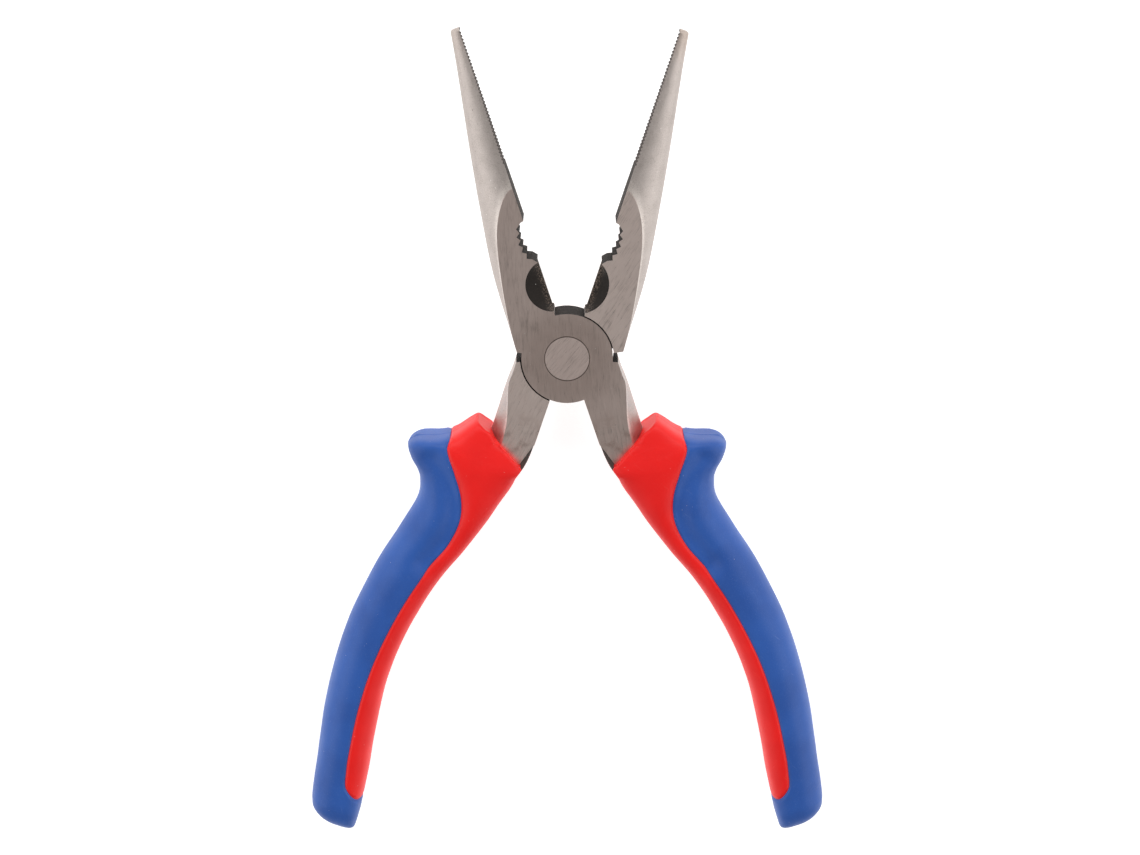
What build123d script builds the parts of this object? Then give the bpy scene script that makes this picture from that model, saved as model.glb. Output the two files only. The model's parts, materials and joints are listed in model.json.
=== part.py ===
from build123d import *
import math
import os

os.makedirs("parts", exist_ok=True)

# Needle nose pliers, drawn about the pivot with +Z along the pivot axis and
# +Y toward the tips. Every lever is drawn closed, then swung to the rest pose.

# ---- driving dimensions, millimetres ----
REST_HALF_ANGLE = 18.2      # each lever stands this far from the closed pose
SPLAY = 0.3                 # extra spread of the handles, drawn parallel below
HALF = 4.5                  # half thickness of the ground steel
LAP_GAP = 0.03              # total gap between the two halves of the lap joint
FACE_GAP = 0.03             # each jaw face stops this far from the closing plane
CLOSE_X = 0.6               # the closing plane passes this far right of the pivot
DISC_R = 10.2               # round boss of each half joint
SHOULDER_R = 10.5           # hollow shoulder that runs round the other boss
JAW_STOP = 25.5             # angle of the jaw shoulder above the X axis
TANG_STOP = 22.5            # angle of the tang shoulder below the X axis
RIVET_SHANK_R = 3.6
RIVET_HEAD_R = 5.0
RIVET_RIM = 0.5             # straight rim of each countersunk head
RUNNING_GAP = 0.05          # rivet in the lever that turns on it
TIP_Y = 76.6
TOOTH_PITCH = 0.8           # fine serration
TOOTH_DEPTH = 0.3
FINE_TOP = 76.0
FINE_COUNT = 38
GRIP_Y = 27.95              # centre of the toothed pipe grip
GRIP_R = 8.16
GRIP_OUT = 6.16
GRIP_TOOTH = 0.75
CUT_Y = 16.95               # middle of the side cutter
CUT_HALF = 5.8
TANG_IN = 0.6               # tang inner edge from the closing plane
CORE_HALF = 3.3             # half thickness of the tang inside the grip
CORE_END = -113.5
JACKET = 1.2                # red wall between the tang and the blue cover
JACKET_HALF = 4.5
JACKET_END = -115.0
TIP_ROUND = 0.75            # radius of the outer corner at each jaw tip

# jaw: distance along the jaw, width, half height of the section before grinding
JAW_SECTIONS = [
    (3.0, 10.9, 26.0),
    (9.0, 10.9, 18.0),
    (16.0, 10.8, 10.4),
    (24.0, 10.35, 7.6),
    (31.0, 9.5, 6.3),
    (36.5, 8.7, 5.1),
    (43.4, 7.65, 4.05),
    (54.0, 5.9, 3.2),
    (64.5, 4.05, 2.4),
    (72.3, 2.75, 1.8),
    (TIP_Y, 2.1, 1.5),
]

# tang: same idea, measured down from the pivot
TANG_SECTIONS = [
    (-3.0, 10.6, 40.0),
    (-9.0, 10.8, 24.0),
    (-13.5, 10.9, 9.2),
    (-18.3, 10.8, 6.9),
    (-28.0, 10.8, 5.8),
]

# grip: distance down, outer edge, inner edge, half thickness
GRIP_SECTIONS = [
    (-19.7, -14.9, -3.0, 5.6),
    (-21.0, -16.0, -1.8, 6.2),
    (-23.8, -18.3, -1.1, 6.9),
    (-25.6, -21.4, -0.9, 7.4),
    (-27.4, -26.0, -1.0, 7.8),
    (-30.6, -27.7, -1.9, 8.1),
    (-33.4, -26.2, -2.5, 8.1),
    (-35.6, -24.0, -3.1, 8.0),
    (-38.1, -22.5, -3.8, 7.9),
    (-42.5, -21.8, -5.0, 7.7),
    (-50.6, -23.6, -7.7, 7.5),
    (-60.5, -26.0, -11.4, 7.5),
    (-73.4, -27.85, -14.2, 7.6),
    (-85.9, -28.05, -15.05, 7.6),
    (-98.1, -26.95, -14.05, 7.4),
    (-110.2, -24.9, -12.4, 7.1),
    (-118.5, -23.6, -11.5, 6.8),
    (-122.2, -22.2, -11.3, 6.1),
    (-124.8, -19.8, -11.7, 4.8),
    (-126.3, -17.4, -13.2, 2.6),
]

# line on the grip where the blue cover meets the red sleeve
SEAM = [
    (-19.3, -25.1), (-18.9, -28.0), (-15.7, -32.8), (-12.6, -37.8),
    (-11.05, -43.4), (-11.7, -49.7), (-14.5, -56.7), (-17.3, -66.8),
    (-19.3, -79.9), (-19.5, -92.5), (-18.3, -104.8), (-16.9, -113.9),
    (-14.6, -117.8), (-11.0, -118.9),
]

# mouth of the sleeve, where the ground steel goes in
MOUTH = [
    (-14.6, -19.2), (-12.6, -20.2), (-10.5, -21.0), (-9.6, -22.0), (-8.2, -23.0),
    (-5.9, -24.5), (-4.0, -25.6), (-2.4, -26.5), (-1.3, -27.1), (-1.45, -28.4), (-1.9, -30.0),
]

# edge of the ground tang under the sleeve and along its unground inner corner
GROUND_END = [
    (-20.0, -22.5), (-11.5, -23.5), (-8.0, -25.5), (-4.5, -27.5),
    (-2.4, -26.6), (-1.5, -23.6), (-0.6, -21.2),
]

# tang inside the grip: distance down, outer edge, inner edge
CORE = [
    (-16.0, -8.0, -0.6), (-22.0, -8.6, -0.65), (-27.0, -10.0, -1.1),
    (-31.5, -11.4, -2.5), (-36.0, -12.6, -4.2), (-44.0, -14.9, -6.9),
    (-55.0, -18.9, -11.0), (-65.0, -21.6, -14.1), (-80.0, -23.5, -16.7),
    (-96.0, -22.4, -15.9), (-111.0, -19.8, -14.2),
]


def arc_point(radius, angle):
    """Point on a circle about the pivot, angle in degrees from +X."""
    a = math.radians(angle)
    return (radius * math.cos(a), radius * math.sin(a))


def prism(outline, low, high):
    """Straight-sided outline from height low to height high."""
    face = make_face(Polyline(*outline, close=True))
    return Pos(0, 0, low) * extrude(face, high - low)


def half_section(y, width, height, flat):
    """Half ellipse standing across Y on the -X side, its flat side at X = flat."""
    whole = Ellipse(width, height)
    keep = Pos(-width, 0) * Rectangle(2 * width, 3 * height)
    return Plane.XZ.offset(-y) * (Pos(flat, 0) * (whole & keep))


def forged(sections, flat):
    """Forged bar through half sections, ground flat on both sides."""
    bar = loft([half_section(y, w, h, flat) for y, w, h in sections])
    slab = Box(60, 400, 2 * HALF)
    return bar & slab


def jaw(flat):
    """Jaw on the -X side, its gripping face against a closing plane at X = flat."""
    body = forged(JAW_SECTIONS, flat)
    face = flat - FACE_GAP
    tip = body.faces().sort_by(Axis.Y)[-1]
    body = fillet(tip.edges().sort_by(Axis.X)[:1], TIP_ROUND)

    # fine serration straight across the face
    zigzag = [(2.0, FINE_TOP), (face, FINE_TOP)]
    for i in range(FINE_COUNT):
        top = FINE_TOP - i * TOOTH_PITCH
        zigzag.append((face - TOOTH_DEPTH, top - TOOTH_PITCH / 2))
        zigzag.append((face, top - TOOTH_PITCH))
    zigzag.append((2.0, zigzag[-1][1]))
    body -= prism(zigzag, -9, 9)
    body -= Pos(5 + face, 40, 0) * Box(10, 90, 30)

    # hollow pipe grip with five coarse teeth
    out = GRIP_OUT + flat
    hollow = [(out, GRIP_Y + 5.5)]
    crests = [33.0, 16.25, 4.75, -6.75, -18.25, -30.0]
    for i, crest in enumerate(crests):
        a = math.radians(crest)
        hollow.append((out - GRIP_R * math.cos(a), GRIP_Y + GRIP_R * math.sin(a)))
        if i < len(crests) - 1:
            a = math.radians(22.0 - 11.5 * i)
            r = GRIP_R + GRIP_TOOTH
            hollow.append((out - r * math.cos(a), GRIP_Y + r * math.sin(a)))
    hollow.append((flat, GRIP_Y - 5.1))
    hollow.append((out, GRIP_Y - 5.1))
    body -= prism(hollow, -9, 9)

    # side cutter: a D-shaped bevel sinks from each face to an edge at mid height
    for side in (1, -1):
        levels = []
        for z, deep in ((0.1, face - 0.12), (1.3, face - 1.3), (4.7, -4.0)):
            top = (face, CUT_Y + CUT_HALF)
            bottom = (face, CUT_Y - CUT_HALF)
            arc = ThreePointArc(top, (deep, CUT_Y), bottom)
            ends = Polyline(bottom, (2, CUT_Y - CUT_HALF), (2, CUT_Y + CUT_HALF), top)
            levels.append(Pos(0, 0, side * z) * make_face(arc + ends))
        body -= loft(levels, ruled=True)
    return body


def strip(inset, bottom):
    """Outline of the tang inside the grip, grown by inset."""
    outer = [(x0 - inset, y) for y, x0, x1 in CORE]
    inner = [(x1 + inset, y) for y, x0, x1 in CORE]
    left = Spline(*outer)
    right = Spline(*inner)
    end = ThreePointArc(left @ 1, ((outer[-1][0] + inner[-1][0]) / 2, bottom), right @ 1)
    top = Line(left @ 0, right @ 0)
    return make_face(left + end + right + top)


def tang_core(inset, half, bottom):
    """Solid tang inside the grip, handle on the -X side."""
    return Pos(0, 0, -half) * extrude(strip(inset, bottom), 2 * half)


def ground_tang():
    """Ground part of the tang down to just inside the sleeve, on the -X side."""
    bar = forged(TANG_SECTIONS, 0)
    outline = [(-20, 0)] + GROUND_END + [(-TANG_IN, 0)]
    return bar & prism(outline, -9, 9)


def lever(flat):
    """Front lever, closed pose: jaw on -X, tang on +X, half joint above the lap."""
    lap = LAP_GAP / 2
    # wedge-shaped windows that end the jaw and the tang at their stops
    jaw_keep = [(2, 0), (0, 0), arc_point(40, 180 - JAW_STOP), (-40, 90), (2, 90)]
    tang_keep = [(0, 0), arc_point(40, 180 + TANG_STOP), (-40, -60), (0, -60)]
    upper = jaw(flat) & prism(jaw_keep, -9, 9)
    lower = ground_tang() & prism(tang_keep, -9, 9)
    lower += tang_core(0, CORE_HALF, CORE_END)
    lower = Rot(0, 0, SPLAY) * mirror(lower, Plane.YZ)
    arms = upper + lower
    # the arms stay full height only outside the boss of the other lever
    arms -= Pos(0, 0, lap - 10) * Cylinder(SHOULDER_R, 20)
    arms -= Pos(0, 0, 5) * Cylinder(DISC_R - 0.5, 10)
    arms += Pos(0, 0, lap) * Cylinder(
        DISC_R, HALF - lap, align=(Align.CENTER, Align.CENTER, Align.MIN)
    )
    return arms


def rivet(grow):
    """Rivet with a countersunk head each side, ground flush; grow widens it."""
    cone = HALF - RIVET_RIM - (RIVET_HEAD_R - RIVET_SHANK_R)
    profile = [
        (0, 0), (RIVET_SHANK_R + grow, 0), (RIVET_SHANK_R + grow, cone),
        (RIVET_HEAD_R + grow, HALF - RIVET_RIM), (RIVET_HEAD_R + grow, HALF), (0, HALF),
    ]
    half = revolve(Plane.XZ * make_face(Polyline(*profile, close=True)), Axis.Z)
    return half + mirror(half, Plane.XY)


def grip_body():
    """Whole grip on the -X side before it is split by colour."""
    sections = []
    for y, outer, inner, half in GRIP_SECTIONS:
        oval = Ellipse((inner - outer) / 2, half)
        sections.append(Plane.XZ.offset(-y) * (Pos((inner + outer) / 2, 0) * oval))
    body = loft(sections)
    above = MOUTH + [(8, -30.2), (8, -10), (-14.6, -10)]
    return body - prism(above, -12, 12)


def grip_pieces():
    """Red sleeve and blue cover on the -X side."""
    body = grip_body()
    core = tang_core(0, CORE_HALF, CORE_END)
    jacket = tang_core(JACKET, JACKET_HALF, JACKET_END)
    line = Spline(*SEAM)
    rim = Polyline(SEAM[-1], (0, -119.2), (0, -140), (-45, -140), (-45, -22), (-20, -21), SEAM[0])
    outside = Pos(0, 0, -12) * extrude(make_face(line + rim), 24)
    cover = (body & outside) - jacket
    sleeve = body - outside + (body & jacket)
    return sleeve - core - ground_tang(), cover


front = lever(CLOSE_X)
back = Rot(0, 180, 0) * lever(-CLOSE_X)
front -= rivet(0)
back -= rivet(RUNNING_GAP)
sleeve, cover = grip_pieces()

left = Rot(0, 0, -REST_HALF_ANGLE)
splayed = Rot(0, 0, -SPLAY)
right = Rot(0, 0, REST_HALF_ANGLE) * Rot(0, 180, 0)

pieces = {
    "left_jaw_lever": Rot(0, 0, REST_HALF_ANGLE) * front,
    "right_jaw_lever": left * back,
    "pivot_rivet": rivet(0),
    "sleeve_left": left * splayed * sleeve,
    "sleeve_right": right * splayed * sleeve,
    "cover_left": left * splayed * cover,
    "cover_right": right * splayed * cover,
}

# stand the whole tool on the middle of the underside of its own box
boxes = [shape.bounding_box() for shape in pieces.values()]
low = [min(tuple(b.min)[i] for b in boxes) for i in range(3)]
high = [max(tuple(b.max)[i] for b in boxes) for i in range(3)]
shift = Pos(-(low[0] + high[0]) / 2, -(low[1] + high[1]) / 2, -low[2])
print("pivot at", [round(v, 3) for v in tuple(shift.position)])
print("size", [round(b - a, 2) for a, b in zip(low, high)])

for name, shape in pieces.items():
    solid = shift * shape
    print(name, len(solid.solids()), round(solid.volume, 1))
    export_step(solid, f"parts/{name}.step")
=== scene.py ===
# %% [markdown]
# # Needle nose pliers: the look
# The steel and the joint come from the CAD model, which arrives as a fixed
# frame. Here it gets its finishes, and the two soft handles are modelled again
# with the folds, seams and moulding lines that a plain CAD solid leaves out.

# %% Load the frame
import bmesh
import bpy
import json
import math
from mathutils import Matrix, Vector, noise
from mathutils.kdtree import KDTree
from types import SimpleNamespace


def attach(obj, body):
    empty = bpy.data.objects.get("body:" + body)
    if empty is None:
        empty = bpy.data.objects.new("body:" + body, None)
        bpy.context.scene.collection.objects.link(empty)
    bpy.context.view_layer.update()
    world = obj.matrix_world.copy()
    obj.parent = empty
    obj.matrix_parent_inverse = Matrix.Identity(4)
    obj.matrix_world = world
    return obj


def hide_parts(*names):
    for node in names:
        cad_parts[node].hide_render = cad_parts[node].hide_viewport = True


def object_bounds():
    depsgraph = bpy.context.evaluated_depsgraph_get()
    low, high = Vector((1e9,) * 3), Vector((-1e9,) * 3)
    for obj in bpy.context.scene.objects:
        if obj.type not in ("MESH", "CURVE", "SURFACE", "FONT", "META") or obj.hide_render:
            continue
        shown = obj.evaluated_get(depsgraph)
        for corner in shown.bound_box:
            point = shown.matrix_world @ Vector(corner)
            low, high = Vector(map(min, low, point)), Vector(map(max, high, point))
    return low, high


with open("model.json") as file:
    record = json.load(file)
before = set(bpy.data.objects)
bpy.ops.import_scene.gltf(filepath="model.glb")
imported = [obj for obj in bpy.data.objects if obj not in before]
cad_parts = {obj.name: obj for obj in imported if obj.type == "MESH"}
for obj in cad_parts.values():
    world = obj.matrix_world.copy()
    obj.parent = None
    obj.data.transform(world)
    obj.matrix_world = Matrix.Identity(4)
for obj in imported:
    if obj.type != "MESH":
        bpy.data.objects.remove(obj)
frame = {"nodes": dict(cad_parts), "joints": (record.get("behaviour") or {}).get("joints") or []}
cad_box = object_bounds()
MM = 0.001
hinge = next(j for j in frame["joints"] if j["name"] == "pivot")
PIVOT = Vector(hinge["pos_m"])
CLOSE_TURN = math.radians(hinge["range_deg"][1])
print("pivot", tuple(PIVOT), "box", [tuple(round(c, 4) for c in corner) for corner in cad_box])

# %% [markdown]
# ## One ruler for both halves
# Pliers are two near-identical levers that cross at a rivet. Shapes and finishes
# are easiest to describe with the tool closed, where both jaws and both handles
# lie along one line. Every position below is given in that closed pose, in
# millimetres from the pivot, for the half whose handle is on the left. The
# helper then swings it out to where the frame holds that half.

# %% Closed pose to rest pose
HALF_TURN = CLOSE_TURN / 2
HANDLE_SPLAY = math.radians(0.3)


def swing(side):
    """Matrix from the closed pose, handle on the left, to the rest pose; side -1 is left, 1 right."""
    flip = Matrix.Rotation(math.pi, 4, "Y") if side > 0 else Matrix.Identity(4)
    turn = Matrix.Rotation(side * HALF_TURN, 4, "Z")
    splay = Matrix.Rotation(-HANDLE_SPLAY, 4, "Z")
    return Matrix.Translation(PIVOT) @ turn @ flip @ splay @ Matrix.Scale(MM, 4)


print("each half opens by", round(math.degrees(HALF_TURN), 2), "degrees")

# %% [markdown]
# ## Shader maths that reads like maths
# A pattern such as grinding marks is a formula over the surface. Node by node
# that is long to write, so a small class wraps a socket: adding or multiplying
# two wrapped sockets makes the Math node and wires it. Constants stay numbers.


# %% A socket with operators
class Value:
    """A number that varies over a surface."""

    def __init__(self, tree, socket):
        self.tree = tree
        self.socket = socket

    def math(self, operation, *others):
        inputs = dict(enumerate((self,) + others))
        return self.tree.node("ShaderNodeMath", {"operation": operation}, inputs)

    def __add__(self, other):
        return self.math("ADD", other)

    __radd__ = __add__

    def __mul__(self, other):
        return self.math("MULTIPLY", other)

    __rmul__ = __mul__

    def __sub__(self, other):
        return self.math("SUBTRACT", other)

    def __rsub__(self, other):
        return (self * -1) + other

    def __pow__(self, other):
        return self.math("POWER", other)

    def size(self):
        return self.math("ABSOLUTE")

    def least(self, other):
        return self.math("MINIMUM", other)

    def ramp(self, low, high, start=0.0, end=1.0):
        """Smooth step from start, at low, to end, at high."""
        settings = {"interpolation_type": "SMOOTHSTEP"}
        inputs = {"Value": self, 1: low, 2: high, 3: start, 4: end}
        return self.tree.node("ShaderNodeMapRange", settings, inputs)


print("methods of a socket:", ", ".join(k for k in vars(Value) if not k.startswith("__")))

# %% [markdown]
# ## One method for every other node
# The tree class makes a node from its type, its settings and its inputs, and
# hands back its first output wrapped. Positions are taken from the object's own
# coordinates, so a pattern stays put when the pliers open and close.


# %% A material's node tree
class Finish:
    """A material under construction."""

    def __init__(self, name):
        self.material = bpy.data.materials.new(name)
        self.material.use_nodes = True
        self.tree = self.material.node_tree
        self.shader = self.tree.nodes["Principled BSDF"]
        self.coordinates = self.tree.nodes.new("ShaderNodeTexCoord")

    def node(self, kind, settings, inputs, output=0):
        made = self.tree.nodes.new(kind)
        for key, value in settings.items():
            setattr(made, key, value)
        for key, value in inputs.items():
            self.wire(made.inputs[key], value)
        return Value(self, made.outputs[output])

    def wire(self, socket, value):
        if isinstance(value, Value):
            self.tree.links.new(value.socket, socket)
        else:
            socket.default_value = value

    def wrap(self, output):
        return Value(self, self.coordinates.outputs[output])

    def parts(self, vector):
        """The X, Y and Z of a vector."""
        split = self.tree.nodes.new("ShaderNodeSeparateXYZ")
        self.tree.links.new(vector.socket, split.inputs[0])
        return [Value(self, out) for out in split.outputs]

    def vector(self, x, y, z):
        return self.node("ShaderNodeCombineXYZ", {}, {0: x, 1: y, 2: z})

    def mix(self, amount, first, second):
        """Colour between first and second."""
        inputs = {0: amount, 6: first, 7: second}
        return self.node("ShaderNodeMix", {"data_type": "RGBA"}, inputs, output=2)

    def cloud(self, where, scale, detail=2.0, rough=0.5):
        """Soft noise."""
        inputs = {"Vector": where, "Scale": scale, "Detail": detail, "Roughness": rough}
        return self.node("ShaderNodeTexNoise", {}, inputs)

    def cells(self, where, scale):
        """Distance to the nearest of many scattered points: small only at the points."""
        return self.node("ShaderNodeTexVoronoi", {}, {"Vector": where, "Scale": scale})

    def bump(self, height, strength, distance):
        """Normal of a skin that rises with height; distance is in metres."""
        inputs = {"Strength": strength, "Distance": distance, "Height": height}
        return self.node("ShaderNodeBump", {}, inputs)

    def surface(self, **inputs):
        """Fills the shader's inputs and hands back the finished material."""
        for key, value in inputs.items():
            self.wire(self.shader.inputs[key.replace("_", " ")], value)
        return self.material


def shade(obj, material):
    """Gives the object one material."""
    obj.data.materials.clear()
    obj.data.materials.append(material)


print("shader helpers ready")

# %% [markdown]
# ## Closed-pose coordinates inside a shader
# The steel changes finish along each lever: ground faces, blasted flanks, dark
# tooth walls. All of them are simple to place in the closed pose, so the shader
# first turns its point back by the same angle the frame opened it by.


# %% Where on a lever a point is
def pivot_millimetres(finish, point):
    """The same point in millimetres from the pivot."""
    shifted = finish.node("ShaderNodeVectorMath", {"operation": "SUBTRACT"}, {0: point, 1: PIVOT})
    return finish.node("ShaderNodeVectorMath", {"operation": "SCALE"}, {0: shifted, "Scale": 1 / MM})


def lever_place(finish, side):
    """x, y, z in mm and the normal's nx, ny, nz, in the closed pose with the jaw on the -X side."""
    settings = {"rotation_type": "Z_AXIS"}
    angle = side * HALF_TURN
    inputs = {"Vector": finish.wrap("Object"), "Center": PIVOT, "Angle": angle}
    turned = finish.node("ShaderNodeVectorRotate", settings, inputs)
    x, y, z = finish.parts(pivot_millimetres(finish, turned))
    inputs = {"Vector": finish.wrap("Normal"), "Center": (0, 0, 0), "Angle": angle}
    nx, ny, nz = finish.parts(finish.node("ShaderNodeVectorRotate", settings, inputs))
    mirror = -side
    return x * mirror, y, z, nx * mirror, ny, nz


print("the shader turns each lever back by", round(math.degrees(HALF_TURN), 2), "degrees")

# %% [markdown]
# ## Drop-forged, blasted and ground steel
# Pliers are forged, shot-blasted to a fine matt grain, and then only the two
# side faces are ground flat, which leaves long scratches. Teeth and the side
# cutter keep a dark, oily oxide. A texture could be painted for each, but one
# shader that chooses between them by place, height and facing needs no maps.
# First come the places, in closed-pose millimetres, and the colours.

# %% Places and colours on the steel
GROUND_HEIGHT = 4.46          # a hair under the two ground faces
RIVET_RADIUS = 5.0
# the dark on this wall is painted shade in the gap between the levers, with some oxide
LAP_RADIUS = 10.62            # hollow wall that runs round the other lever's boss
# the stops are painted dark: shade beside the boss, with some oxide
STOP_RADIUS = 13.5            # the flat stops beside the boss lie inside it
JAW_ROOT = 10.6               # inner faces of the jaws begin here
CUTTER_MIDDLE, CUTTER_HALF = 16.95, 5.7
LAND_LOW, LAND_HIGH = 34.0, 45.4      # plain land between the coarse and the fine teeth
TEETH_START = 45.0
JAW_TIP = 75.5
TANG_TOP = -8.0
STAIN_TOP = -13.0
CORE_TOP, CORE_SIDE, CORE_HEIGHT = -20.5, 6.0, 3.2    # as-forged end of the tang

FRONT_STEEL = (0.76, 0.625, 0.57, 1)
BACK_STEEL = (0.96, 0.81, 0.745, 1)
# painted shade: a darker colour round the boss of the front lever
BOSS_PAINTED_SHADE = (0.63, 0.505, 0.455, 1)
BLASTED_STEEL = (0.52, 0.465, 0.435, 1)
# painted highlight: the lighter colour along the rounded edge of the flanks next to the ground faces
ARRIS_PAINTED_HIGHLIGHT = (0.78, 0.71, 0.66, 1)
SCRATCH_DARK = (0.25, 0.215, 0.19, 1)
SCRATCH_BRIGHT = (0.92, 0.87, 0.82, 1)
# dark oxide of the working faces, also used as painted shade in the gap round the boss and on the
# stops
OXIDE_AND_SHADE = (0.022, 0.017, 0.014, 1)
WORN_OXIDE = (0.30, 0.225, 0.18, 1)
TOOTH_OXIDE = (0.24, 0.19, 0.17, 1)
RUST = (0.20, 0.075, 0.03, 1)
TIP_STAIN = (0.55, 0.33, 0.17, 1)
DRIED_OIL = (0.035, 0.02, 0.013, 1)
PIT = (0.04, 0.03, 0.025, 1)
SPECK = (0.95, 0.92, 0.88, 1)
STEEL_RELIEF = 0.00006        # metres
print("cutter from", CUTTER_MIDDLE - CUTTER_HALF, "to", CUTTER_MIDDLE + CUTTER_HALF, "mm")

# %% [markdown]
# ## Which finish is where
# Each mask is 1 inside its finish and 0 outside, with a narrow smooth step
# between. Multiplying masks keeps what both hold, and 1 - mask is the rest.


# %% Masks of a lever
def lever_masks(x, y, z, nx, ny, nz):
    radius = (x * x + y * y) ** 0.5
    height = z.size()
    ground = height.ramp(GROUND_HEIGHT, GROUND_HEIGHT + 0.03) * nz.size().ramp(0.9, 0.97)
    rough = 1 - ground
    inward = nx.ramp(0.12, 0.3) * y.ramp(JAW_ROOT, JAW_ROOT + 0.6) * rough
    core = height.ramp(CORE_HEIGHT, CORE_HEIGHT + 0.3, 1.0, 0.0)
    core = core * y.ramp(CORE_TOP, CORE_TOP + 1.0, 1.0, 0.0)
    core = core * x.ramp(CORE_SIDE - 1.0, CORE_SIDE, 1.0, 0.0)
    # painted shade, with some oxide, in the gap round the other lever's boss and on the stops beside
    # it
    lap_shade_and_oxide = radius.ramp(LAP_RADIUS - 0.04, LAP_RADIUS + 0.04, 1.0, 0.0) * rough
    stops_shade_and_oxide = radius.ramp(STOP_RADIUS, STOP_RADIUS + 0.5, 1.0, 0.0) * ny.size().ramp(0.6, 0.8) * rough
    from_cutter = (y - CUTTER_MIDDLE).size()
    land = y.ramp(LAND_LOW - 0.4, LAND_LOW + 0.4) * y.ramp(LAND_HIGH - 0.4, LAND_HIGH + 0.4, 1.0, 0.0)
    return SimpleNamespace(
        ground=ground,
        rough=rough,
        oxide_and_shade=(inward + core + lap_shade_and_oxide * 0.8 + stops_shade_and_oxide).least(1.0),
        cutter=from_cutter.ramp(CUTTER_HALF, CUTTER_HALF + 0.3, 1.0, 0.0) * inward,
        land=land * inward,
        teeth=y.ramp(TEETH_START, TEETH_START + 1.0),
        # painted highlight along the flanks' rounded edge just below the ground faces
        arris_highlight=height.ramp(4.0, 4.4) * rough * 0.6,
        ring=(radius - RIVET_RADIUS).size().ramp(0.06, 0.2, 1.0, 0.0) * ground,
        # where the painted shade round the boss lies, fading out by 15 mm
        boss=radius.ramp(6.5, 15.0, 1.0, 0.0),
        tang=y.ramp(TANG_TOP - 1.0, TANG_TOP, 1.0, 0.0),
        by_grip=y.ramp(STAIN_TOP, STAIN_TOP - 8.0),
        at_tip=y.ramp(JAW_TIP - 7.5, JAW_TIP),
    )


print("ground faces start", GROUND_HEIGHT, "mm above the middle of the steel")

# %% [markdown]
# ## Grinding scratches
# A wheel leaves fine scratches all one way, and broader bands where it pressed
# harder. Noise that is squeezed across and stretched along gives both. The jaw
# and the tang of a lever are ground in different strokes.


# %% Scratches at an angle
def grinding(finish, where_x, where_y, z, angle):
    """Long fine scratches that run at an angle from the tool's length."""
    c, s = math.cos(angle), math.sin(angle)
    across = where_x * c + where_y * s
    along = where_y * c - where_x * s
    fine = finish.cloud(finish.vector(across * 7.0, along * 0.4, z), 1.0, 3.0, 0.65)
    broad = finish.cloud(finish.vector(across * 2.2, along * 0.16, z), 1.0, 2.0, 0.5)
    return fine, broad


def strokes(finish, x, y, z, jaw_angle, tang_angle, on_tang):
    """Fine and broad scratches of a lever, whose tang is ground at its own angle."""
    on_jaw = grinding(finish, x, y, z, jaw_angle)
    below = grinding(finish, x, y, z, tang_angle)
    return [a + (b - a) * on_tang for a, b in zip(on_jaw, below)]


print("fine scratches about", round(1 / 7.0, 2), "mm apart")

# %% [markdown]
# ## One lever's steel
# The layers go on in the order in which the tool got them: forged and blasted
# metal, ground faces, stain from handling, oxide on the working faces, then
# pits, specks and the dried oil in the crack round the rivet.


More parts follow.
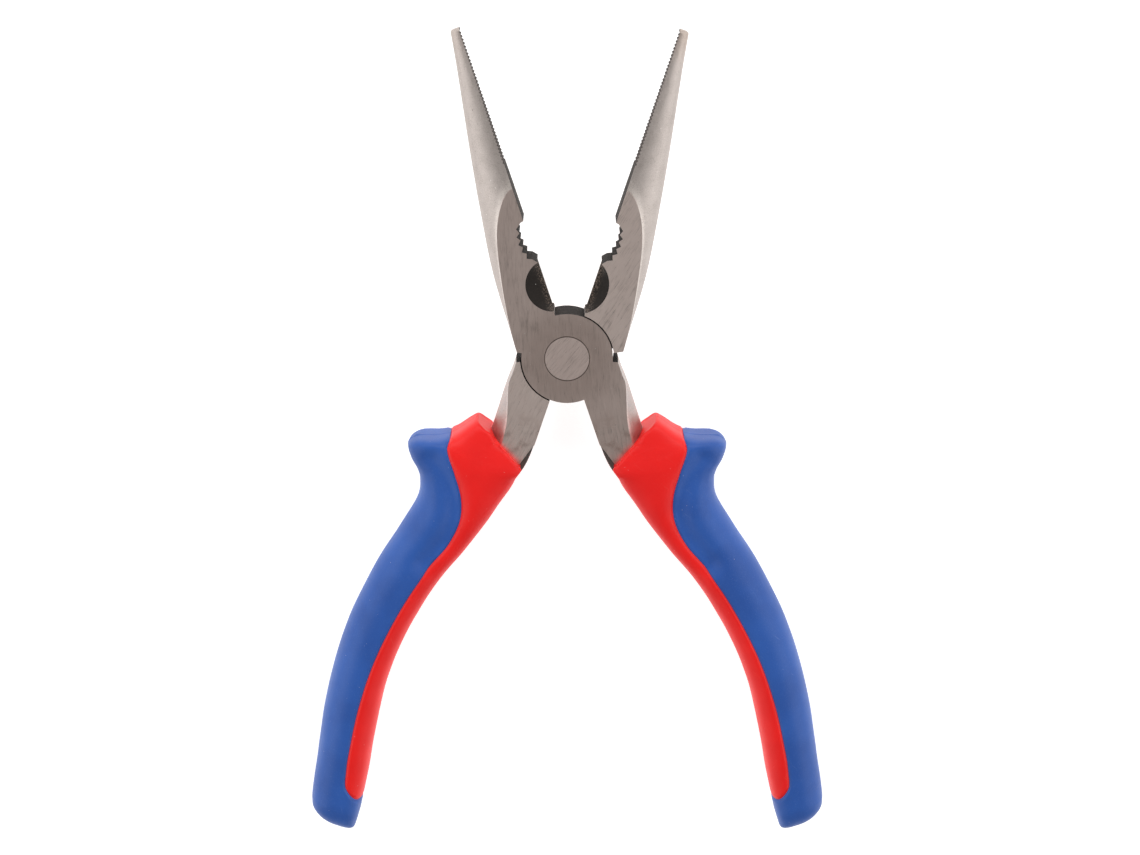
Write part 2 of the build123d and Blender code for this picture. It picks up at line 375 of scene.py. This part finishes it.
# %% Steel of one lever
def lever_steel(name, side, jaw_angle, tang_angle, closing, ground_colour, boss_shade):
    f = Finish(name)
    x, y, z, nx, ny, nz = lever_place(f, side)
    place = f.vector(x, y, z)
    on = lever_masks(x, y, z, nx, ny, nz)
    scratch, streak = strokes(f, x, y, z, jaw_angle, tang_angle, on.tang)
    grain = f.cloud(place, 5.5, 3.0, 0.6)
    blotch = f.cloud(place, 0.35, 3.0, 0.55)
    mottle = f.cloud(place, 2.6, 4.0, 0.7)

    # bare metal, lighter and darker with its scratches and grain, with painted shade round the front
    # lever's boss and a painted highlight on the flanks' rounded edge next to the ground faces
    flat = f.mix(on.boss * boss_shade, ground_colour, BOSS_PAINTED_SHADE)
    metal = f.mix(on.ground, f.mix(on.arris_highlight, BLASTED_STEEL, ARRIS_PAINTED_HIGHLIGHT), flat)
    tone = (scratch - 0.5) * 0.4 * on.ground + (streak - 0.5) * 0.24 * on.ground
    tone = tone + (grain - 0.5) * 0.85 * on.rough + (blotch - 0.5) * 0.25
    metal = f.mix((tone * -1).ramp(-0.02, 0.32), metal, SCRATCH_DARK)
    metal = f.mix(tone.ramp(0.02, 0.5), metal, SCRATCH_BRIGHT)

    # stain where the tang goes into the grip, and at the tips
    grip_stain = on.by_grip * (blotch + grain * 0.3).ramp(0.55, 0.9)
    tip_stain = on.at_tip * (0.35 + blotch * 0.6) * (0.55 if side > 0 else 0.2)
    metal = f.mix(grip_stain * 0.45, metal, RUST)
    metal = f.mix(tip_stain * 0.4, metal, TIP_STAIN)

    # oxide, rubbed through along the cutting edge and on the land; the same dark also paints shade
    # into the gap round the other lever's boss and onto the stops beside it, which carry some oxide
    # too
    edge = (closing - x).ramp(0.3, 1.7, 1.0, 0.0) * on.cutter
    worn = edge * mottle.ramp(0.47, 0.62) * 0.75 + on.land * mottle.ramp(0.5, 0.7) * 0.4
    oxide_and_shade_colour = f.mix(worn, OXIDE_AND_SHADE, WORN_OXIDE)
    oxide_and_shade_colour = f.mix(on.teeth * (0.05 + mottle * 0.35), oxide_and_shade_colour, TOOTH_OXIDE)
    metal = f.mix(on.oxide_and_shade, metal, oxide_and_shade_colour)

    # dried oil, sparse pits and pale specks
    pit_spots = (f.cells(place, 0.5) + (grain - 0.5) * 0.07).ramp(0.03, 0.06, 1.0, 0.0)
    pit = pit_spots * f.cloud(place, 0.21, 1.0).ramp(0.54, 0.6)
    speck = f.cells(f.vector(x + 31.0, y - 17.0, z), 0.42).ramp(0.03, 0.05, 1.0, 0.0)
    metal = f.mix(on.ring * 0.85, metal, DRIED_OIL)
    metal = f.mix(pit * 0.85, metal, PIT)
    metal = f.mix(speck * 0.6, metal, SPECK)

    gloss = 0.34 + (scratch - 0.5) * 0.3 * on.ground + on.rough * 0.13 + on.oxide_and_shade * 0.36
    height = scratch * 0.35 * on.ground + (grain - pit * 2.0) * on.rough
    height = height + (mottle - 0.5) * on.oxide_and_shade * 2.0 - on.ring * 1.5
    return f.surface(
        Base_Color=metal,
        Metallic=1 - on.oxide_and_shade * 0.55,
        Roughness=gloss + (grain - 0.5) * 0.25 * on.rough,
        Normal=f.bump(height, 0.35, STEEL_RELIEF),
    )


# %% [markdown]
# ## Dress the steel
# Each lever was laid on the wheel by itself, so their strokes slant opposite
# ways, and the back one came out brighter. The rivet was dressed last, so its
# strokes cross those of the boss.

# %% Both levers
CLOSING_LINE = 0.6            # where the jaws meet, to one side of the pivot
# only the front lever takes the painted shade round its boss
left_steel = lever_steel(
    "steel_left_jaw", -1, math.radians(-16), math.radians(-8), CLOSING_LINE, FRONT_STEEL, 1.0
)
right_steel = lever_steel(
    "steel_right_jaw", 1, math.radians(14), math.radians(8), -CLOSING_LINE, BACK_STEEL, 0.0
)
shade(frame["nodes"]["left_jaw_lever"], left_steel)
shade(frame["nodes"]["right_jaw_lever"], right_steel)
print("steel on", left_steel.name, "and", right_steel.name)

# %% [markdown]
# ## The rivet
# The rivet head is hammered into its countersink and ground flush, so only a
# fine dark ring of oil shows where it ends. It takes the same scratch helper,
# twice, because it was dressed in two strokes.

# %% Rivet
RIVET_STEEL = (0.92, 0.76, 0.70, 1)
RIVET_DARK = (0.42, 0.35, 0.315, 1)
RIVET_BRIGHT = (0.93, 0.88, 0.83, 1)
FIRST_STROKE = math.radians(-20)
LAST_STROKE = math.radians(-40)


def rivet_steel():
    f = Finish("steel_rivet")
    x, y, z = f.parts(pivot_millimetres(f, f.wrap("Object")))
    radius = (x * x + y * y) ** 0.5
    fine, broad = grinding(f, x, y, z, LAST_STROKE)
    cross = grinding(f, x, y, z, FIRST_STROKE)[0]
    tone = (fine - 0.5) * 0.4 + (cross - 0.5) * 0.2 + (broad - 0.5) * 0.3
    colour = f.mix((tone * -1).ramp(-0.02, 0.3), RIVET_STEEL, RIVET_DARK)
    colour = f.mix(tone.ramp(0.02, 0.45), colour, RIVET_BRIGHT)
    ring = radius.ramp(RIVET_RADIUS - 0.2, RIVET_RADIUS - 0.04)
    colour = f.mix(ring * 0.9, colour, DRIED_OIL)
    return f.surface(
        Base_Color=colour,
        Metallic=1 - ring * 0.6,
        Roughness=0.33 + (fine - 0.5) * 0.3,
        Normal=f.bump(fine * 0.4 - ring, 0.35, STEEL_RELIEF),
    )


shade(frame["nodes"]["pivot_rivet"], rivet_steel())
print("rivet of", RIVET_RADIUS, "mm radius")

# %% [markdown]
# ## The soft grips
# Each handle is moulded in two shots of elastomer: a red sleeve against the
# palm side and up round the tang, and a blue cover with a guard that keeps the
# hand off the jaws. Both share one flowing skin. It could be one blank cut in
# two by Booleans, but cut edges come out ragged, so the skin is drawn instead:
# a ring at every station down the handle, and each colour takes its own part of
# the ring, so that an edge of the mesh runs exactly along the colour seam.

# %% Sections of the whole grip
# distance down the handle, outer edge, inner edge, half thickness, and how
# square the section is: 2 is an ellipse
GRIP_SECTIONS = [
    (-19.4, -13.9, -3.0, 5.2, 4.0),
    (-20.2, -14.9, -2.4, 5.6, 4.5),
    (-21.7, -16.1, -1.8, 6.2, 5.0),
    (-24.8, -18.5, -1.1, 6.9, 5.0),
    (-26.8, -21.6, -0.9, 7.4, 5.0),
    (-28.4, -26.0, -1.0, 7.8, 4.5),
    (-30.6, -27.7, -1.9, 8.1, 3.2),
    (-33.4, -26.2, -2.5, 8.1, 2.7),
    (-35.6, -24.0, -3.1, 8.0, 2.5),
    (-38.1, -22.5, -3.8, 7.9, 2.4),
    (-42.5, -21.8, -5.0, 7.7, 2.3),
    (-50.6, -23.6, -7.7, 7.5, 2.25),
    (-60.5, -26.0, -11.4, 7.5, 2.25),
    (-73.4, -27.85, -14.2, 7.6, 2.25),
    (-85.9, -28.05, -15.05, 7.6, 2.25),
    (-98.1, -26.95, -14.05, 7.4, 2.25),
    (-110.2, -24.9, -12.4, 7.1, 2.3),
    (-118.5, -23.5, -11.5, 6.8, 2.4),
    (-120.5, -23.0, -11.35, 6.5, 2.5),
    (-122.1, -22.3, -11.3, 5.9, 2.5),
    (-123.4, -20.8, -11.3, 5.0, 2.6),
    (-124.2, -19.4, -11.5, 3.9, 2.6),
    (-124.8, -18.2, -12.3, 2.5, 2.6),
]


def catmull(points, t):
    """Smooth curve through rows of numbers, t from 0 to 1."""
    spans = len(points) - 1
    place = min(t * spans, spans - 1e-9)
    i = int(place)
    u = place - i
    rows = [points[min(max(i + k, 0), spans)] for k in (-1, 0, 1, 2)]
    return [
        0.5 * (2 * q + (r - p) * u + (2 * p - 5 * q + 4 * r - s) * u * u
               + (3 * q - p - 3 * r + s) * u ** 3)
        for p, q, r, s in zip(*rows)
    ]


def trace(points, count):
    """Points along the smooth curve through a few."""
    return [tuple(catmull(points, k / (count - 1))) for k in range(count)]


def lookup(rows, y):
    """The other columns where the first column, which falls, passes y."""
    low, high = 0, len(rows) - 1
    while high - low > 1:
        middle = (low + high) // 2
        if rows[middle][0] > y:
            low = middle
        else:
            high = middle
    a, b = rows[low], rows[high]
    share = min(max((a[0] - y) / max(a[0] - b[0], 1e-9), 0.0), 1.0)
    return [p + (q - p) * share for p, q in zip(a[1:], b[1:])]


sections = trace(GRIP_SECTIONS, 800)
print("grip runs from", sections[0][0], "to", round(sections[-1][0], 2), "mm")

# %% [markdown]
# ## Seam and mouth lines
# The seam between the colours is a long S on both faces of the grip, and the
# mouth is the slanted edge where the tang goes in. Each is a handful of points
# with a smooth curve through them. A search tree tells how far any point of the
# skin is from a line, which the moulded detail needs.

# %% Lines on the grip
# distance down the handle, place across it
SEAM = [
    (-22.6, -19.75), (-25.1, -19.3), (-28.0, -18.9), (-32.8, -15.7), (-37.8, -12.6),
    (-43.4, -11.05), (-49.7, -11.7), (-56.7, -14.5), (-66.8, -17.3),
    (-79.9, -19.3), (-92.5, -19.5), (-104.8, -18.3), (-110.0, -17.4),
    (-112.7, -16.75), (-114.0, -15.9), (-115.2, -14.4), (-115.9, -12.9), (-116.0, -11.2),
]
MOUTH = [
    (-19.7, -14.6), (-20.7, -12.6), (-21.5, -10.6), (-22.4, -9.6), (-23.2, -8.2),
    (-24.5, -5.9), (-25.6, -4.0), (-26.5, -2.4), (-27.1, -1.3), (-28.4, -1.45), (-30.0, -1.8),
    (-31.5, -1.6),
]


def search_tree(line):
    tree = KDTree(len(line))
    for i, (y, x) in enumerate(line):
        tree.insert((x, y, 0), i)
    tree.balance()
    return tree


seam_line = trace(SEAM, 1200)
mouth_line = trace(MOUTH, 400)
seam_tree = search_tree(seam_line)
mouth_tree = search_tree(mouth_line)
seam_length = sum(math.dist(a, b) for a, b in zip(seam_line, seam_line[1:]))
print("seam is", round(seam_length, 1), "mm long")

# %% [markdown]
# ## How far the skin sinks
# Moulded detail is small against the grip: a groove under half a millimetre
# deep at the seam, a rolled lip at the mouth, a thumb hollow under the
# guard, and the thin raised line, with torn nibs of flash on it, that the two
# mould halves leave at mid height. Each one is a short formula.

# %% Depth of the moulded detail
SEAM_DEPTH = 0.32
SEAM_WIDTH = 0.32
LIP_ROLL = 0.75
THUMB = [
    (-31.5, -21.5), (-34.0, -18.0), (-37.6, -14.8), (-42.0, -12.8), (-48.0, -12.8), (-55.0, -15.5),
]
THUMB_DEPTH = 1.3
THUMB_WIDTH = 2.8
GUARD_MIDDLE, GUARD_REACH = -28.0, 9.0
PARTING_WANDER = 0.22
PARTING_WIDTH = 0.3
NIB_START = 0.3               # only the peaks of the noise above this become nibs
UNEVEN = 0.07                 # slow unevenness of a cooled moulding
thumb_tree = search_tree(trace(THUMB, 80))


def bell(distance, width):
    return math.exp(-((distance / width) ** 2))


def sink_of(p, n):
    """How far the skin at p, facing n, lies below the plain oval."""
    flat = (p.x, p.y, 0)
    seam_far = seam_tree.find(flat)[2]
    mouth_far = mouth_tree.find(flat)[2]
    thumb_far = thumb_tree.find(flat)[2]
    sink = SEAM_DEPTH * bell(seam_far, SEAM_WIDTH)
    if mouth_far < LIP_ROLL:
        rest = LIP_ROLL - mouth_far
        sink += LIP_ROLL - math.sqrt(max(LIP_ROLL ** 2 - rest ** 2, 0.0))
    sink += THUMB_DEPTH * bell(thumb_far, THUMB_WIDTH) * min(1.0, abs(n.z) * 1.3)
    # parting line, highest on the guard, wandering a little about mid height
    guard = bell(p.y - GUARD_MIDDLE, GUARD_REACH)
    wander = PARTING_WANDER * noise.noise(Vector((p.x * 0.3, p.y * 0.3, 3.0)))
    ridge = bell(p.z - wander, PARTING_WIDTH) * (1 - min(1.0, abs(n.z) * 1.4))
    nib = max(0.0, noise.noise(Vector((p.x * 0.55, p.y * 0.55, 7.0))) - NIB_START)
    sink -= (0.05 + 0.06 * guard + guard * nib) * ridge
    # kept mostly inward, so the skin stays inside its plain size
    return sink + UNEVEN * (noise.noise(p * 0.16) + 0.6)


print("seam", SEAM_DEPTH, "mm deep, lip", LIP_ROLL, "mm, thumb hollow", THUMB_DEPTH, "mm")

# %% [markdown]
# ## A section of the skin
# A grip's section is an oval with squared shoulders. A superellipse makes every
# shape from oval to box with one exponent, so it is used with an exponent for
# each station. The points crowd toward both limits, where the rolled edges
# need them.

# %% Top skin and its slope
SKIN_POINTS = 44
INNER_SQUARE = 1.35          # the palm side is squarer than the outer one


def squareness(square, u):
    """Exponent of the section on the side of the middle where u is."""
    return square * INNER_SQUARE if u > 0 else square


def skin_angle(outer, inner, square, x):
    """Angle round the section, pi at the outer edge and 0 at the inner one, at x."""
    u = min(max((2 * x - outer - inner) / (inner - outer), -1.0), 1.0)
    return math.acos(math.copysign(abs(u) ** (squareness(square, u) / 2), u))


def top_skin(y, left, right):
    """Points over the top of the grip at y, between two places across it."""
    outer, inner, half, square = lookup(sections, y)
    start = skin_angle(outer, inner, square, max(left, outer))
    end = skin_angle(outer, inner, square, min(right, inner))
    row = []
    for k in range(SKIN_POINTS):
        share = 0.5 - 0.5 * math.cos(math.pi * k / (SKIN_POINTS - 1))
        a = start + (end - start) * share
        c, s = math.cos(a), max(math.sin(a), 0.0)
        power = 2 / squareness(square, c)
        x = (outer + inner) / 2 + math.copysign(abs(c) ** power, c) * (inner - outer) / 2
        row.append(Vector((x, y, half * s ** power)))
    return row


def level(x, y, z):
    """1 on the plain skin, less inside it, more outside."""
    outer, inner, half, square = lookup(sections, y)
    u = (2 * x - outer - inner) / (inner - outer)
    power = squareness(square, u)
    return abs(u) ** power + abs(z / half) ** power


def facing(p, step=0.02):
    """Which way the plain skin faces at p: the slope of the level."""
    slope = Vector((
        level(p.x + step, p.y, p.z) - level(p.x - step, p.y, p.z),
        level(p.x, p.y + step, p.z) - level(p.x, p.y - step, p.z),
        level(p.x, p.y, p.z + step) - level(p.x, p.y, p.z - step),
    ))
    return slope.normalized()


print("points across the top skin:", SKIN_POINTS)

# %% [markdown]
# ## Rings, cut to a colour
# A ring runs along the top skin from its left limit to its right one, down the
# right wall, back along the bottom skin and up the left wall. Where a limit is
# the grip's own edge, the wall shrinks to nothing and its points are merged.

# %% One ring
WALL_POINTS = 5
END_STEPS = ((0.86, 0.14), (0.6, 0.2), (0.3, 0.23))     # share of the ring, drop in mm


def sunk(row):
    """A row of skin with the moulded detail pressed in."""
    normals = [facing(p) for p in row]
    return [p - n * sink_of(p, n) for p, n in zip(row, normals)]


def ring_of(top):
    """Closed ring from a row of top skin."""
    bottom = [Vector((p.x, p.y, -p.z)) for p in reversed(top)]
    shares = [(k + 1) / (WALL_POINTS + 1) for k in range(WALL_POINTS)]
    right = [top[-1].lerp(bottom[0], share) for share in shares]
    left = [bottom[-1].lerp(top[0], share) for share in shares]
    return top + right + bottom + left


def rounded_end(ring):
    """Shrinking rings that round the end of the grip over."""
    middle = sum(ring, Vector()) / len(ring)
    return [
        [middle.lerp(p, share) - Vector((0, drop, 0)) for p in ring]
        for share, drop in END_STEPS
    ]


print("points in a ring:", 2 * SKIN_POINTS + 2 * WALL_POINTS)

# %% [markdown]
# ## From rings to a mesh
# Quads join each ring to the next, and one face closes each end. Points that
# fall together where a wall shrinks to nothing are merged afterwards.

# %% One half of the grip as a mesh
MERGE = 0.004
SLIVER = 0.002


def grip_half(name, stations, left_limit, right_limit, round_over):
    """Mesh over the stations, between two limits that are functions of y."""
    rings = [ring_of(sunk(top_skin(y, left_limit(y), right_limit(y)))) for y in stations]
    if round_over:
        rings += rounded_end(rings[-1])
    mesh = bmesh.new()
    loops = [[mesh.verts.new(p) for p in ring] for ring in rings]
    count = len(loops[0])
    for low, high in zip(loops, loops[1:]):
        for k in range(count):
            n = (k + 1) % count
            mesh.faces.new((low[k], low[n], high[n], high[k]))
    mesh.faces.new(loops[0][::-1])
    mesh.faces.new(loops[-1])
    bmesh.ops.remove_doubles(mesh, verts=mesh.verts, dist=MERGE)
    bmesh.ops.dissolve_degenerate(mesh, edges=mesh.edges, dist=SLIVER)
    bmesh.ops.recalc_face_normals(mesh, faces=mesh.faces)
    data = bpy.data.meshes.new(name)
    mesh.to_mesh(data)
    mesh.free()
    print(name, "has", len(data.vertices), "points and", len(data.polygons), "faces")
    return data


# %% [markdown]
# ## Stations, and the two colours
# Even steps along the seam and the mouth, rather than down the grip, put more
# rings where those lines turn across it. The cover takes the skin outside the
# seam, the sleeve takes what lies between the seam and the mouth or inner edge.

# %% Blue and red halves
PART_GAP = 0.02
SEAM_STEP = 0.5
MOUTH_STEP = 0.3
FAR_LEFT, FAR_RIGHT = -60.0, 10.0     # beyond the grip on either side


def seam_at(y):
    return lookup(seam_line, y)[0]


def mouth_at(y):
    return lookup(mouth_line, y)[0]


def spaced(line, step):
    """Distances down the grip at even steps along a line."""
    picked = [line[0][0]]
    run = 0.0
    for a, b in zip(line, line[1:]):
        run += math.dist(a, b)
        if run >= step:
            picked.append(b[0])
            run = 0.0
    return picked


SEAM_TOP = next(y for y, x in seam_line if x > lookup(sections, y)[0])
SEAM_END = next(y for y, x in reversed(seam_line) if x < lookup(sections, y)[1])
MOUTH_END = mouth_line[-1][0]
GRIP_END = sections[-1][0]
seam_stations = [y for y in spaced(seam_line, SEAM_STEP) if SEAM_END < y < SEAM_TOP - 0.01]
mouth_stations = [y for y in spaced(mouth_line, MOUTH_STEP) if y > MOUTH_END]
end_stations = [row[0] for row in sections[::3] if row[0] < SEAM_END - 0.02] + [GRIP_END]

cover_half = grip_half(
    "cover_half", [SEAM_TOP] + seam_stations + [SEAM_END] + end_stations,
    lambda y: FAR_LEFT, lambda y: seam_at(y) - PART_GAP, True,
)
sleeve_half = grip_half(
    "sleeve_half",
    [y for y in mouth_stations if mouth_at(y) > lookup(sections, y)[0] + 0.02]
    + [y for y in seam_stations if y < MOUTH_END] + [SEAM_END],
    lambda y: seam_at(y) + PART_GAP, lambda y: mouth_at(y) if y > MOUTH_END else FAR_RIGHT, False,
)
print("seam runs from", round(SEAM_TOP, 1), "to", round(SEAM_END, 1), "mm down the handle")

# %% [markdown]
# ## Elastomer
# The grips are a soft, satin thermoplastic rubber. It has almost no gloss, an
# even colour that dust and handling break up slightly, and a skin as fine as an
# eggshell. Pale dust specks and a few hairline scuffs keep it from looking like
# paint.


# %% Grip finish
RED = (0.94, 0.010, 0.008, 1)
RED_DEEP = (0.86, 0.007, 0.006, 1)
RED_PALE = (0.90, 0.07, 0.05, 1)
BLUE = (0.026, 0.108, 0.43, 1)
BLUE_DEEP = (0.020, 0.086, 0.36, 1)
BLUE_PALE = (0.12, 0.22, 0.50, 1)
DUST = (0.80, 0.78, 0.76, 1)
SKIN_RELIEF = 0.00008         # metres


def elastomer(name, base, deep, pale, side):
    f = Finish(name)
    settings = {"rotation_type": "Z_AXIS"}
    inputs = {"Vector": f.wrap("Object"), "Center": PIVOT, "Angle": -side * HALF_TURN}
    turned = f.node("ShaderNodeVectorRotate", settings, inputs)
    place = pivot_millimetres(f, turned)
    x, y, z = f.parts(place)
    slow = f.cloud(place, 0.09, 3.0, 0.55)
    skin = f.cloud(place, 2.4, 4.0, 0.6)
    pores = f.cells(place, 3.2)
    dust = f.cells(place, 0.62).ramp(0.028, 0.05, 1.0, 0.0) * f.cloud(place, 0.3, 1.0).ramp(0.5, 0.58)
    lint = f.cells(f.vector(x * 0.25 + 9.0, y * 1.6, z), 0.5).ramp(0.012, 0.022, 1.0, 0.0)
    scuff_line = f.cloud(f.vector(x * 2.2 + y * 1.4, y * 0.18 - x * 0.1, z * 0.4), 1.0, 3.0, 0.5)
    scuff = scuff_line.ramp(0.68, 0.74) * f.cloud(place, 0.07, 1.0).ramp(0.52, 0.62)
    colour = f.mix(slow.ramp(0.3, 0.7), base, deep)
    colour = f.mix((skin - 0.5).ramp(0.0, 0.4) * 0.25, colour, pale)
    colour = f.mix(scuff * 0.35, colour, pale)
    colour = f.mix((dust + lint).least(1.0) * 0.55, colour, DUST)
    rough = 0.46 + (skin - 0.5) * 0.16 + (slow - 0.5) * 0.12 + scuff * 0.1
    height = skin * 0.6 + pores * 0.5 - scuff * 0.8
    return f.surface(
        Base_Color=colour,
        Roughness=rough,
        IOR=1.42,
        Normal=f.bump(height, 0.25, SKIN_RELIEF),
    )


print("grip skin relief", round(SKIN_RELIEF / MM, 2), "mm")

# %% [markdown]
# ## Hang the grips on the frame
# Both handles use the same two meshes. The right one is the left one rolled
# over about its length, as on the real tool, where both levers come from one
# forging die.

# %% Place both handles
SHARP_ANGLE = math.radians(62)


def place_grip(half_mesh, name, node, body_name, material, side):
    piece = bpy.data.objects.new(name, half_mesh.copy())
    bpy.context.scene.collection.objects.link(piece)
    piece.data.transform(swing(side))
    for polygon in piece.data.polygons:
        polygon.use_smooth = True
    piece.data.set_sharp_from_angle(angle=SHARP_ANGLE)
    shade(piece, material)
    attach(piece, body_name)
    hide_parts(node)


for side, word, body_name in ((-1, "left", "right_lever"), (1, "right", "left_lever")):
    blue = elastomer("cover_" + word + "_blue", BLUE, BLUE_DEEP, BLUE_PALE, side)
    red = elastomer("sleeve_" + word + "_red", RED, RED_DEEP, RED_PALE, side)
    place_grip(cover_half, "grip_cover_" + word, "cover_" + word, body_name, blue, side)
    place_grip(sleeve_half, "grip_sleeve_" + word, "sleeve_" + word, body_name, red, side)

for leftover in (cover_half, sleeve_half):
    bpy.data.meshes.remove(leftover)

# %% [markdown]
# ## The floor
# The pliers lie on a lit white table. A plain white floor would go grey near
# the tool and pick up the red of the grips, so this one reflects less and glows
# instead, which keeps it white to the edge of the steel.

# %% Floor
FLOOR_HALF = 3.0              # metres
FLOOR_WHITE = (0.60, 0.60, 0.60, 1)
FLOOR_FLECK = (0.64, 0.64, 0.64, 1)
FLOOR_GLOW = 0.8


def pale_floor():
    data = bpy.data.meshes.new("floor")
    a = FLOOR_HALF
    data.from_pydata([(-a, -a, 0), (a, -a, 0), (a, a, 0), (-a, a, 0)], [], [(0, 1, 2, 3)])
    floor = bpy.data.objects.new("floor", data)
    bpy.context.scene.collection.objects.link(floor)
    f = Finish("floor_paper")
    fibre = f.cloud(f.wrap("Object"), 900.0, 2.0)
    paper = f.surface(
        Base_Color=f.mix(fibre, FLOOR_WHITE, FLOOR_FLECK),
        Roughness=0.9,
        Emission_Color=(1.0, 1.0, 1.0, 1),
        Emission_Strength=FLOOR_GLOW,
    )
    shade(floor, paper)


pale_floor()
print("floor", 2 * FLOOR_HALF, "m square")

# %% [markdown]
# ## Lights
# Satin steel shows little of its own colour and mostly mirrors what is round
# it. A long soft box on each side and one beyond the tips make the bright outer
# flanks, and the dim world above keeps the ground faces grey.

# %% Lights
CENTRE = (cad_box[0] + cad_box[1]) / 2
WORLD_WHITE = (1.0, 0.985, 0.97, 1)
WORLD_STRENGTH = 0.28
# name, place, width and height in metres, watts
SOFT_BOXES = [
    ("box_left", (-0.75, 0.05, 0.48), 1.6, 0.8, 5.2),
    ("box_right", (0.75, 0.05, 0.48), 1.6, 0.8, 5.2),
    ("box_tips", (0.0, 0.9, 0.55), 1.0, 0.5, 4.0),
]


def soft_box(name, place, width, height, power):
    lamp = bpy.data.lights.new(name, "AREA")
    lamp.shape = "RECTANGLE"
    lamp.size = width
    lamp.size_y = height
    lamp.energy = power
    holder = bpy.data.objects.new(name, lamp)
    holder.location = Vector(place)
    direction = CENTRE - holder.location
    holder.rotation_euler = direction.to_track_quat("-Z", "Y").to_euler()
    bpy.context.scene.collection.objects.link(holder)


for box in SOFT_BOXES:
    soft_box(*box)

world = bpy.data.worlds.new("studio")
bpy.context.scene.world = world
world.use_nodes = True
backdrop = world.node_tree.nodes["Background"]
backdrop.inputs["Color"].default_value = WORLD_WHITE
backdrop.inputs["Strength"].default_value = WORLD_STRENGTH
bpy.context.scene.view_settings.view_transform = "Standard"
print("soft boxes:", len(SOFT_BOXES), "and a world of", WORLD_STRENGTH)

# %% [markdown]
# ## Camera
# The view is from above and a little beyond the tips, looking back down the
# tool, through a lens about as long as one for portraits.

# %% Camera
CAMERA_TILT = math.radians(15.365)
CAMERA_FROM_PIVOT = Vector((0.65, 133.61, 548.45))      # millimetres
LENS = 79.39
SENSOR_WIDTH = 36.0
camera_data = bpy.data.cameras.new("camera")
camera_data.lens = LENS
camera_data.sensor_width = SENSOR_WIDTH
camera = bpy.data.objects.new("camera", camera_data)
camera.location = PIVOT + CAMERA_FROM_PIVOT * MM
camera.rotation_euler = (-CAMERA_TILT, 0, 0)
bpy.context.scene.collection.objects.link(camera)
bpy.context.scene.camera = camera
print("camera", round(CAMERA_FROM_PIVOT.length), "mm from the pivot")

# %% [markdown]
